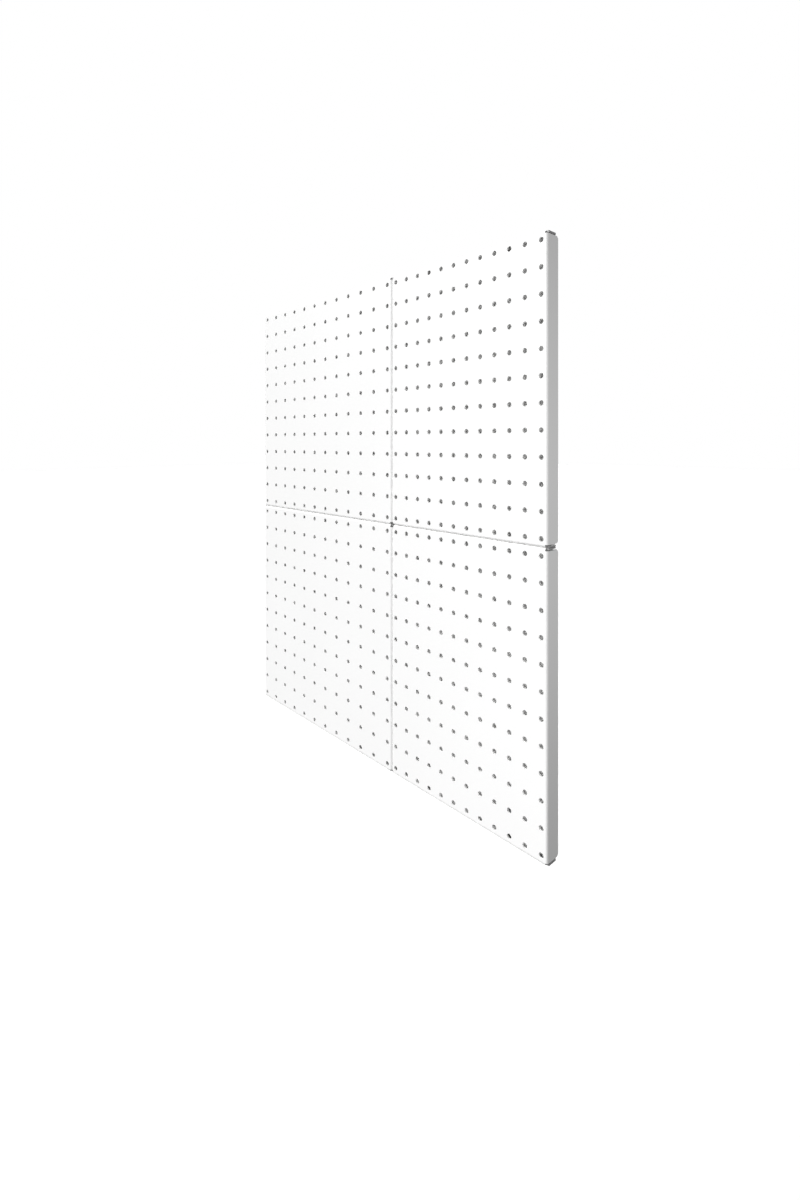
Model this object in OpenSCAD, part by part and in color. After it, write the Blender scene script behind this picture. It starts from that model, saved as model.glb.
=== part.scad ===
// Wall-mounted perforated display board: four clip-on steel trays, two across and two high.
// Frame: X to the right, Z up, the wall is the plane Y = 0 and the board stands out towards -Y.
// Each module is drawn lying on its back (depth along +Z) and then stood up against the wall.

/* [Modules] */
// Width of each left-hand module
wide_w = 295; // [292:1:320]
// Width of each right-hand module
narrow_w = 215; // [214:1:260]
// Height of every module
module_h = 295; // [292:1:320]
// Open seam between neighbouring modules
seam_gap = 0.5; // [0.4:0.1:2]

/* [Peg holes] */
// Columns of peg holes in a module
peg_cols = 12; // [4:1:12]
// Rows of peg holes in a module
peg_rows = 12; // [6:1:12]
// Hole spacing down every module and across the wide ones
row_pitch = 25.4; // [20:0.1:25.4]
// Hole spacing across the narrow modules
narrow_pitch = 18.3; // [15:0.1:18.3]
// Diameter of a peg hole
peg_d = 5.2; // [4.8:0.1:7]

/* [Front trays] */
// Steel thickness of a front tray
tray_t = 1.5; // [0.8:0.1:1.6]
// Depth of a tray, from its back edge to its front face
tray_depth = 18; // [17:0.5:24]
// Outside radius of the folds
fold_r = 2.5; // [2:0.1:2.5]
// How far the side flanges stop short at each end
corner_slot = 2.6; // [2.6:0.1:4]
// Corner cut at the back of the side flanges
side_chamfer = 2; // [1:0.5:4]
// Corner cut at the back of the end flanges
end_chamfer = 4; // [1:0.5:6]
// Space between a tray's back edge and the wall rails
rail_clearance = 0.5; // [0.3:0.1:1]

/* [Back pans] */
// Steel thickness of a back pan
pan_t = 1.2; // [0.8:0.1:1.5]
// Depth of a pan, from its back to its front edge
pan_depth = 12; // [8:0.5:13]
// Space around a pan, inside its tray, where the spring clips work
clip_space = 1.5; // [1.2:0.1:2]
// Corner cut at the front of each pan flange
pan_chamfer = 3; // [1:0.5:4]

/* [Wall rails] */
// Thickness of the wall rails
rail_t = 3; // [2:0.5:5]
// Rail edge beyond the middle of its screw row
rail_edge = 12; // [8:1:16]
// How far the rails stop short of the board's sides
rail_inset = 15; // [8:1:25]

/* [Fixings] */
// Diameter of the wall screw holes
wall_hole_d = 5; // [4:0.5:6]
// Thread diameter of the pan screws
pan_screw_d = 4; // [3:0.5:4]
// Diameter of the rubber bumpers
bumper_d = 10; // [8:0.5:12]
// Width of a spring clip
clip_w = 14; // [10:1:20]
// Thickness of the clips' spring steel
clip_t = 0.5; // [0.4:0.1:0.6]

/* [Hidden] */
$fn = 48;

steel_white = [0.96, 0.96, 0.95];
zinc = [0.72, 0.73, 0.75];
spring_steel = [0.42, 0.43, 0.45];
rubber = [0.82, 0.82, 0.80];

board_w = wide_w + seam_gap + narrow_w;
left_x = -board_w / 2 + wide_w / 2;
right_x = board_w / 2 - narrow_w / 2;
upper_z = (module_h + seam_gap) / 2;
lower_z = -upper_z;

// Levels above the wall
tray_back = rail_t + rail_clearance;
tray_front = tray_back + tray_depth;
pan_inside = rail_t + pan_t;

// Screws stand midway between two peg rows or columns, counted from a module's edge
screw_row = 0;
wall_screw_col = 1;
pan_screw_col = 2;
bumper_gap = 3;

// Fit of a loose shank in its hole, on the radius
shank_play = 0.05;

pan_screw_head_d = 2 * pan_screw_d;
pan_screw_head_h = 0.6 * pan_screw_d;
hex_key = 0.6 * pan_screw_d;
bumper_stem_d = 5;
bumper_barb_d = 7;
bumper_barb_h = 1.5;
clip_leg = 7;
clip_bulge_play = 0.2;
clip_heel = 2;

// Where the clips of a flange sit, as a share of the module's size each way from its middle
clip_place = 0.26;

function pitch_of(w) = w == wide_w ? row_pitch : narrow_pitch;

// Distance from a module's middle to the middle of the nth gap between peg holes, from its edge
function gap_place(count, pitch, n) = ((count - 1) / 2 - n - 0.5) * pitch;
function row_gap(n) = gap_place(peg_rows, row_pitch, n);
function col_gap(w, n) = gap_place(peg_cols, pitch_of(w), n);

function pan_w(w) = w - 2 * (tray_t + clip_space);
pan_h = module_h - 2 * (tray_t + clip_space);

// Stands a module, drawn on its back about its own middle, up against the wall
module stand_up(x, z) {
    translate([x, 0, z])
        rotate([90, 0, 0])
            children();
}

module four_corners(dx, dy) {
    for (sx = [-1, 1], sy = [-1, 1])
        translate([sx * dx, sy * dy])
            children();
}

// Outline of a flange that hangs from a bend at height -r, with its back corners cut
function flange_outline(reach, depth, r, cut) = [
    [-reach, -r], [reach, -r],
    [reach, cut - depth], [reach - cut, -depth],
    [cut - reach, -depth], [-reach, cut - depth]
];

// One folded edge of a sheet-metal tray: a quarter bend and a flange hanging down from it,
// which may reach past the bend at both ends.
// The sheet's top face is at height 0 and the flange's outer face is at x = 0.
module folded_edge(bend_len, flange_len, depth, t, r, cut) {
    rotate([90, 0, 0])
        linear_extrude(bend_len, center = true)
            translate([-r, -r])
                intersection() {
                    difference() {
                        circle(r);
                        circle(r - t);
                    }
                    square(r);
                }
    translate([-t, 0, 0])
        rotate([90, 0, 90])
            linear_extrude(t)
                polygon(flange_outline(flange_len / 2, depth, r, cut));
}

// A tray folded from one sheet: face on top at height 0, four flanges down.
// The end flanges overlap the side flanges' ends, and an open slot is left between them.
// The children are the 2-D holes in its face.
module folded_tray(w, h, depth, t, r, side_cut, end_cut) {
    side_len = h - 2 * corner_slot;
    end_len = w - 2 * corner_slot;
    translate([0, 0, -t])
        linear_extrude(t)
            difference() {
                union() {
                    square([w - 2 * r, side_len], center = true);
                    square([end_len, h - 2 * r], center = true);
                }
                children();
            }
    for (s = [0, 180])
        rotate(s) {
            translate([w / 2, 0, 0])
                folded_edge(side_len, side_len, depth, t, r, side_cut);
            rotate(90)
                translate([h / 2, 0, 0])
                    folded_edge(end_len, w, depth, t, r, end_cut);
        }
}

module peg_holes(w) {
    pitch = pitch_of(w);
    for (c = [0 : peg_cols - 1], r = [0 : peg_rows - 1])
        translate([(c - (peg_cols - 1) / 2) * pitch, (r - (peg_rows - 1) / 2) * row_pitch])
            circle(d = peg_d);
}

module front_panel(w) {
    color(steel_white)
        translate([0, 0, tray_front])
            folded_tray(w, module_h, tray_depth, tray_t, fold_r, side_chamfer, end_chamfer)
                peg_holes(w);
}

// Shallow pan fixed to the rails, its flanges pointing forward inside the tray
module back_pan(w) {
    color(steel_white)
        translate([0, 0, rail_t])
            mirror([0, 0, 1])
                folded_tray(pan_w(w), pan_h, pan_depth, pan_t, fold_r, pan_chamfer, pan_chamfer) {
                    four_corners(col_gap(w, wall_screw_col), row_gap(screw_row))
                        circle(d = wall_hole_d);
                    four_corners(col_gap(w, pan_screw_col), row_gap(screw_row))
                        circle(d = pan_screw_d + 2 * shank_play);
                    four_corners(col_gap(w, bumper_gap), row_gap(bumper_gap))
                        circle(d = bumper_stem_d + 2 * shank_play);
                }
}

// Spring clip pushed over the front edge of a pan flange; its outer leg bows out to grip the tray.
// Drawn with the flange's outer face at x = 0 and its front edge at height 0.
module spring_clip() {
    reach = clip_space - clip_bulge_play;
    inner = -pan_t - clip_t;
    rotate([90, 0, 0])
        linear_extrude(clip_w, center = true)
            polygon([
                [inner, -clip_leg], [inner, clip_t], [clip_t, clip_t],
                [reach, -clip_leg / 2], [clip_t, clip_heel - clip_leg - clip_t],
                [clip_t, -clip_leg - clip_t], [0, -clip_leg - clip_t],
                [0, clip_heel - clip_leg], [reach - clip_t, -clip_leg / 2],
                [0, 0], [-pan_t, 0], [-pan_t, -clip_leg]
            ]);
}

// Two clips on one flange of a pan that measures the given distance across
module clip_pair(across, from_middle) {
    for (y = [-from_middle, from_middle])
        translate([across / 2, y, rail_t + pan_depth])
            spring_clip();
}

module spring_clips(w) {
    color(spring_steel)
        for (s = [0, 180]) {
            rotate(s)
                clip_pair(pan_w(w), clip_place * module_h);
            rotate(s + 90)
                clip_pair(pan_h, clip_place * w);
        }
}

// Rubber bumper from the pan to the back of the tray's face, held by a stem and barb
module bumper() {
    stem_base = rail_t - bumper_barb_h;
    translate([0, 0, pan_inside])
        cylinder(h = tray_front - tray_t - pan_inside, d = bumper_d);
    translate([0, 0, stem_base])
        cylinder(h = pan_inside - stem_base, d = bumper_stem_d);
    translate([0, 0, stem_base])
        cylinder(h = bumper_barb_h, d = bumper_barb_d);
}

module bumpers(w) {
    color(rubber)
        four_corners(col_gap(w, bumper_gap), row_gap(bumper_gap))
            bumper();
}

// Low-head socket screw from the pan into the tapped rail, flush with the rail's back
module pan_screw() {
    difference() {
        union() {
            translate([0, 0, pan_inside])
                cylinder(h = pan_screw_head_h, d = pan_screw_head_d);
            cylinder(h = pan_inside, d = pan_screw_d);
        }
        translate([0, 0, pan_inside + pan_screw_head_h / 3])
            cylinder(h = pan_screw_head_h, d = hex_key, $fn = 6);
    }
}

module pan_screws(w) {
    color(zinc)
        four_corners(col_gap(w, pan_screw_col), row_gap(screw_row))
            pan_screw();
}

// Flat rail against the wall, holed for the wall screws and the pan screws of each screw row
module wall_rail(rows) {
    height = rows[len(rows) - 1] - rows[0] + 2 * rail_edge;
    middle = (rows[len(rows) - 1] + rows[0]) / 2;
    color(zinc)
        stand_up(0, 0)
            linear_extrude(rail_t)
                difference() {
                    translate([0, middle])
                        square([board_w - 2 * rail_inset, height], center = true);
                    for (y = rows, m = [[left_x, wide_w], [right_x, narrow_w]], s = [-1, 1]) {
                        translate([m[0] + s * col_gap(m[1], wall_screw_col), y])
                            circle(d = wall_hole_d);
                        translate([m[0] + s * col_gap(m[1], pan_screw_col), y])
                            circle(d = pan_screw_d);
                    }
                }
}

module wall_rail_top() { wall_rail([upper_z + row_gap(screw_row)]); }
module wall_rail_middle() {
    wall_rail([lower_z + row_gap(screw_row), upper_z - row_gap(screw_row)]);
}
module wall_rail_bottom() { wall_rail([lower_z - row_gap(screw_row)]); }

stand_up(left_x, upper_z) front_panel(wide_w);  // panel_upper_left
stand_up(right_x, upper_z) front_panel(narrow_w);  // panel_upper_right
stand_up(left_x, lower_z) front_panel(wide_w);  // panel_lower_left
stand_up(right_x, lower_z) front_panel(narrow_w);  // panel_lower_right
stand_up(left_x, upper_z) back_pan(wide_w);  // back_pan_upper_left
stand_up(right_x, upper_z) back_pan(narrow_w);  // back_pan_upper_right
stand_up(left_x, lower_z) back_pan(wide_w);  // back_pan_lower_left
stand_up(right_x, lower_z) back_pan(narrow_w);  // back_pan_lower_right
stand_up(left_x, upper_z) spring_clips(wide_w);  // spring_clips_upper_left
stand_up(right_x, upper_z) spring_clips(narrow_w);  // spring_clips_upper_right
stand_up(left_x, lower_z) spring_clips(wide_w);  // spring_clips_lower_left
stand_up(right_x, lower_z) spring_clips(narrow_w);  // spring_clips_lower_right
stand_up(left_x, upper_z) bumpers(wide_w);  // bumpers_upper_left
stand_up(right_x, upper_z) bumpers(narrow_w);  // bumpers_upper_right
stand_up(left_x, lower_z) bumpers(wide_w);  // bumpers_lower_left
stand_up(right_x, lower_z) bumpers(narrow_w);  // bumpers_lower_right
stand_up(left_x, upper_z) pan_screws(wide_w);  // pan_screws_upper_left
stand_up(right_x, upper_z) pan_screws(narrow_w);  // pan_screws_upper_right
stand_up(left_x, lower_z) pan_screws(wide_w);  // pan_screws_lower_left
stand_up(right_x, lower_z) pan_screws(narrow_w);  // pan_screws_lower_right
wall_rail_top();
wall_rail_middle();
wall_rail_bottom();
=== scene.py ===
"""Looks of the perforated wall display board: materials, camera, studio and floor around the CAD model."""
import math

import bpy
from mathutils import Euler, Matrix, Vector


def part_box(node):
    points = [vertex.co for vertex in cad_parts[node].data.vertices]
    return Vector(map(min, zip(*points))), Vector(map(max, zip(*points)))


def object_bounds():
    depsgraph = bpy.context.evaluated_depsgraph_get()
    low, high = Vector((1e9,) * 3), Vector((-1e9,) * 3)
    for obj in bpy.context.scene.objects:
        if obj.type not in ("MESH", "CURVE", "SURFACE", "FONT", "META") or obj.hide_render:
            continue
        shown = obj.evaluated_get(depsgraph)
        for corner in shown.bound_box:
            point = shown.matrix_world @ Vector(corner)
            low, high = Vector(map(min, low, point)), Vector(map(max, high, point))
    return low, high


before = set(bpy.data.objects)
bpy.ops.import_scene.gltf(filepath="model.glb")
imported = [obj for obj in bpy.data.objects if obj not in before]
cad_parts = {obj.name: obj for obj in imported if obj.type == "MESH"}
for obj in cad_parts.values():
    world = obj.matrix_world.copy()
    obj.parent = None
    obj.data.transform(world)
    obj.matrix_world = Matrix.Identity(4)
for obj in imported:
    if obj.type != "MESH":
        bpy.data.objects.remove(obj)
cad_low, cad_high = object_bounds()

MODULES = ("upper_left", "upper_right", "lower_left", "lower_right")
RAILS = ("top", "middle", "bottom")


# ---------------------------------------------------------------- camera

SENSOR_MM = 36.0
CAMERA_LENS_MM = 17.760
CAMERA_SHIFT_Y = -0.1314
CAMERA_PLACE = (0.5644, -0.4935, 0.0982)
CAMERA_LEVEL_DEG = 90.0
CAMERA_TURN_DEG = 47.208
CAMERA_REACH = (0.01, 200.0)


def make_camera():
    """A level wide-angle camera to the right of the board, above its middle, turned left to face it."""
    data = bpy.data.cameras.new("camera")
    data.sensor_width = SENSOR_MM
    data.lens = CAMERA_LENS_MM
    data.shift_y = CAMERA_SHIFT_Y
    data.clip_start, data.clip_end = CAMERA_REACH
    camera = bpy.data.objects.new("camera", data)
    camera.location = CAMERA_PLACE
    camera.rotation_euler = Euler((math.radians(CAMERA_LEVEL_DEG), 0.0, math.radians(CAMERA_TURN_DEG)))
    bpy.context.scene.collection.objects.link(camera)
    bpy.context.scene.camera = camera


# ---------------------------------------------------------------- materials

class Material:
    """A node material: a Principled shader and the helpers that wire textures into it."""

    def __init__(self, name):
        self.data = bpy.data.materials.new(name)
        self.data.use_nodes = True
        self.nodes = self.data.node_tree.nodes
        self.links = self.data.node_tree.links
        self.shader = self.nodes["Principled BSDF"]
        self.place = self.nodes.new("ShaderNodeTexCoord").outputs["Object"]

    def set(self, **values):
        """Sets the shader's own sockets to fixed values."""
        for name, value in values.items():
            self.shader.inputs[name.replace("_", " ")].default_value = value

    def node(self, kind, **inputs):
        """Makes a node; its inputs take fixed values or the outputs of other nodes."""
        made = self.nodes.new(kind)
        for name, value in inputs.items():
            self.feed(made.inputs[name.replace("_", " ")], value)
        return made

    def feed(self, socket, value):
        if isinstance(value, bpy.types.NodeSocket):
            self.links.new(value, socket)
        else:
            socket.default_value = value

    def noise(self, scale, detail=3.0, roughness=0.5):
        made = self.node("ShaderNodeTexNoise", Vector=self.place, Scale=scale)
        made.inputs["Detail"].default_value = detail
        made.inputs["Roughness"].default_value = roughness
        return made.outputs["Fac"]

    def spread(self, source, low, high):
        """Maps a texture's 0.3 to 0.7, where most of it lies, onto low to high."""
        made = self.node("ShaderNodeMapRange", Value=source, From_Min=0.3, From_Max=0.7)
        made.inputs["To Min"].default_value = low
        made.inputs["To Max"].default_value = high
        return made.outputs["Result"]

    def mix(self, factor, first, second):
        """A colour between two others, each a fixed colour or another node's output."""
        made = self.nodes.new("ShaderNodeMix")
        made.data_type = "RGBA"
        for index, value in ((0, factor), (6, first), (7, second)):
            self.feed(made.inputs[index], value)
        return made.outputs[2]

    def calc(self, operation, *values):
        made = self.nodes.new("ShaderNodeMath")
        made.operation = operation
        for socket, value in zip(made.inputs, values):
            self.feed(socket, value)
        return made.outputs[0]

    def split(self, vector):
        return self.node("ShaderNodeSeparateXYZ", Vector=vector).outputs

    def colour(self, source):
        self.links.new(source, self.shader.inputs["Base Color"])

    def rough(self, source, low, high):
        self.links.new(self.spread(source, low, high), self.shader.inputs["Roughness"])

    def bump(self, source, distance, strength):
        made = self.node("ShaderNodeBump", Height=source, Strength=strength, Distance=distance)
        self.links.new(made.outputs["Normal"], self.shader.inputs["Normal"])


def rgba(red, green, blue):
    return (red, green, blue, 1.0)


# Painted shade darkens the coat within SLOT of a tray's ends and sides, and behind the slots as far in as
# BEHIND_SLOT
SLOT = 0.00265
BEHIND_SLOT = 0.014
# Grey of the painted shade in the trays' corner slots
SLOT_PAINTED_SHADE = rgba(0.4, 0.4, 0.4)


def slot_shade_mask(m, low, high):
    """Mask of the painted shade: 1 round the open corner slots of a tray with this box, and 0 elsewhere."""
    half_w = (high[0] - low[0]) / 2
    half_h = (high[2] - low[2]) / 2
    place = m.split(m.place)
    across = m.calc("ABSOLUTE", m.calc("SUBTRACT", place["X"], low[0] + half_w))
    up = m.calc("SUBTRACT", place["Z"], low[2] + half_h)
    at_end = m.calc("GREATER_THAN", m.calc("ABSOLUTE", up), half_h - SLOT)
    at_side = m.calc("GREATER_THAN", across, half_w - SLOT)
    near_side = m.calc("GREATER_THAN", across, half_w - BEHIND_SLOT)
    normal = m.split(m.nodes.new("ShaderNodeNewGeometry").outputs["Normal"])
    facing_in = m.calc("LESS_THAN", m.calc("MULTIPLY", normal["Z"], up), -half_h / 2)
    behind = m.calc("MULTIPLY", near_side, facing_in)
    return m.calc("MULTIPLY", at_end, m.calc("MAXIMUM", at_side, behind))


def powder_coat(name, tray=None):
    """Satin white powder coat with fine orange peel, very slightly uneven in tone and gloss.

    On a tray, painted shade darkens it to grey round the open corner slots."""
    m = Material(name)
    m.set(Metallic=0.0, Specular_IOR_Level=0.4)
    tone = m.spread(m.noise(9.0, 4.0), 0.0, 1.0)
    white = m.mix(tone, rgba(0.965, 0.965, 0.963), rgba(0.98, 0.98, 0.979))
    if tray:
        # Painted shade: grey round the tray's open corner slots
        white = m.mix(slot_shade_mask(m, *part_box(tray)), white, SLOT_PAINTED_SHADE)
    m.colour(white)
    m.rough(m.noise(240.0, 2.0), 0.42, 0.52)
    m.bump(m.noise(620.0, 2.0, 0.4), 0.00006, 0.35)
    return m.data


def galvanised():
    """Galvanised sheet with its crystal spangle."""
    m = Material("galvanised_steel")
    m.set(Metallic=0.85)
    cells = m.node("ShaderNodeTexVoronoi", Vector=m.place, Scale=95.0, Randomness=1.0)
    m.colour(m.mix(cells.outputs["Color"], rgba(0.46, 0.47, 0.49), rgba(0.62, 0.63, 0.65)))
    m.rough(m.noise(60.0, 4.0), 0.38, 0.58)
    m.bump(cells.outputs["Distance"], 0.00004, 0.3)
    return m.data


def plain_steel(name, dark, light, gloss):
    """Zinc-plated or stainless steel with fine handling marks."""
    m = Material(name)
    m.set(Metallic=1.0)
    m.colour(m.mix(m.noise(160.0), dark, light))
    m.rough(m.noise(400.0, 4.0), gloss, gloss + 0.15)
    return m.data


def rubber():
    """Moulded white silicone rubber, matt with a fine grain."""
    m = Material("white_rubber")
    m.set(Metallic=0.0)
    m.colour(m.mix(m.noise(300.0), rgba(0.78, 0.78, 0.76), rgba(0.86, 0.86, 0.84)))
    m.rough(m.noise(500.0, 2.0), 0.65, 0.85)
    m.bump(m.noise(900.0, 2.0), 0.00005, 0.4)
    return m.data


def dress(node, material):
    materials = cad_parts[node].data.materials
    materials.clear()
    materials.append(material)


def dress_all():
    behind_the_trays = {
        "back_pan": powder_coat("white_powder_coat"),
        "spring_clips": plain_steel("spring_steel", rgba(0.56, 0.56, 0.55), rgba(0.68, 0.68, 0.67), 0.25),
        "bumpers": rubber(),
        "pan_screws": plain_steel("zinc_plate", rgba(0.60, 0.61, 0.63), rgba(0.74, 0.75, 0.77), 0.22),
    }
    for module in MODULES:
        panel = f"panel_{module}"
        dress(panel, powder_coat(f"white_powder_coat_{module}", panel))
        for kind, material in behind_the_trays.items():
            dress(f"{kind}_{module}", material)
    sheet = galvanised()
    for rail in RAILS:
        dress(f"wall_rail_{rail}", sheet)


# ---------------------------------------------------------------- studio

FLOOR_BELOW_BOARD = 0.9
FLOOR_SIZE = 60.0
# Soft suns: azimuth from straight in front of the board towards its left, elevation, angular size, strength
KEY = (30.0, 37.0, 50.0, 3.45)
BACK = (150.0, 30.0, 50.0, 1.6)
# A small soft light out to the board's right, a little in front of it and above its middle
SIDE_OUT = 0.42
SIDE_FORWARD = 0.17
SIDE_UP = 0.075
SIDE_SIZE = 0.2
SIDE_WATTS = 0.6
# What the white surround gives the board, and how bright the camera sees it
WORLD_LIGHT = 0.245
WORLD_SEEN = 1.0
# The white trays and pans pass light on between them many times before it comes back out of a hole
LIGHT_BOUNCES = 32


def make_floor():
    """A plain pale floor far below, which the board neither reflects nor picks up light from."""
    bpy.ops.mesh.primitive_plane_add(size=FLOOR_SIZE, location=(0, 0, cad_low.z - FLOOR_BELOW_BOARD))
    floor = bpy.context.object
    floor.name = "floor"
    m = Material("floor")
    m.set(Base_Color=rgba(0.95, 0.95, 0.95), Roughness=0.9)
    floor.data.materials.append(m.data)
    floor.visible_diffuse = False
    floor.visible_glossy = False


def make_world():
    """A white surround that lights the board less than the camera sees of it."""
    world = bpy.data.worlds.new("studio")
    bpy.context.scene.world = world
    world.use_nodes = True
    nodes, links = world.node_tree.nodes, world.node_tree.links
    nodes.clear()
    mix = nodes.new("ShaderNodeMixShader")
    links.new(nodes.new("ShaderNodeLightPath").outputs["Is Camera Ray"], mix.inputs["Fac"])
    for socket, strength in ((mix.inputs[1], WORLD_LIGHT), (mix.inputs[2], WORLD_SEEN)):
        white = nodes.new("ShaderNodeBackground")
        white.inputs["Color"].default_value = rgba(1, 1, 1)
        white.inputs["Strength"].default_value = strength
        links.new(white.outputs[0], socket)
    links.new(mix.outputs[0], nodes.new("ShaderNodeOutputWorld").inputs["Surface"])


def soft_sun(name, azimuth_deg, elevation_deg, angle_deg, strength):
    """A soft far light. Azimuth 0 shines from straight in front of the board and grows to its left."""
    data = bpy.data.lights.new(name, "SUN")
    data.angle = math.radians(angle_deg)
    data.energy = strength
    light = bpy.data.objects.new(name, data)
    tilt_deg = 90.0 - elevation_deg
    light.rotation_euler = Euler((math.radians(tilt_deg), 0.0, math.radians(-azimuth_deg)))
    bpy.context.scene.collection.objects.link(light)


def side_light():
    """Lights the board's right-hand flanges, brightest a little above their middle."""
    data = bpy.data.lights.new("side", "AREA")
    data.size = SIDE_SIZE
    data.energy = SIDE_WATTS
    light = bpy.data.objects.new("side", data)
    light.location = (cad_high.x + SIDE_OUT, cad_low.y - SIDE_FORWARD, SIDE_UP)
    aim = Vector((cad_high.x, cad_low.y, SIDE_UP)) - light.location
    light.rotation_euler = aim.to_track_quat("-Z", "Y").to_euler()
    light.visible_camera = False
    bpy.context.scene.collection.objects.link(light)


def make_studio():
    make_world()
    make_floor()
    soft_sun("key", *KEY)
    soft_sun("back", *BACK)
    side_light()
    scene = bpy.context.scene
    scene.view_settings.view_transform = "Standard"
    scene.view_settings.look = "None"
    scene.cycles.max_bounces = LIGHT_BOUNCES
    scene.cycles.diffuse_bounces = LIGHT_BOUNCES


make_camera()
dress_all()
make_studio()
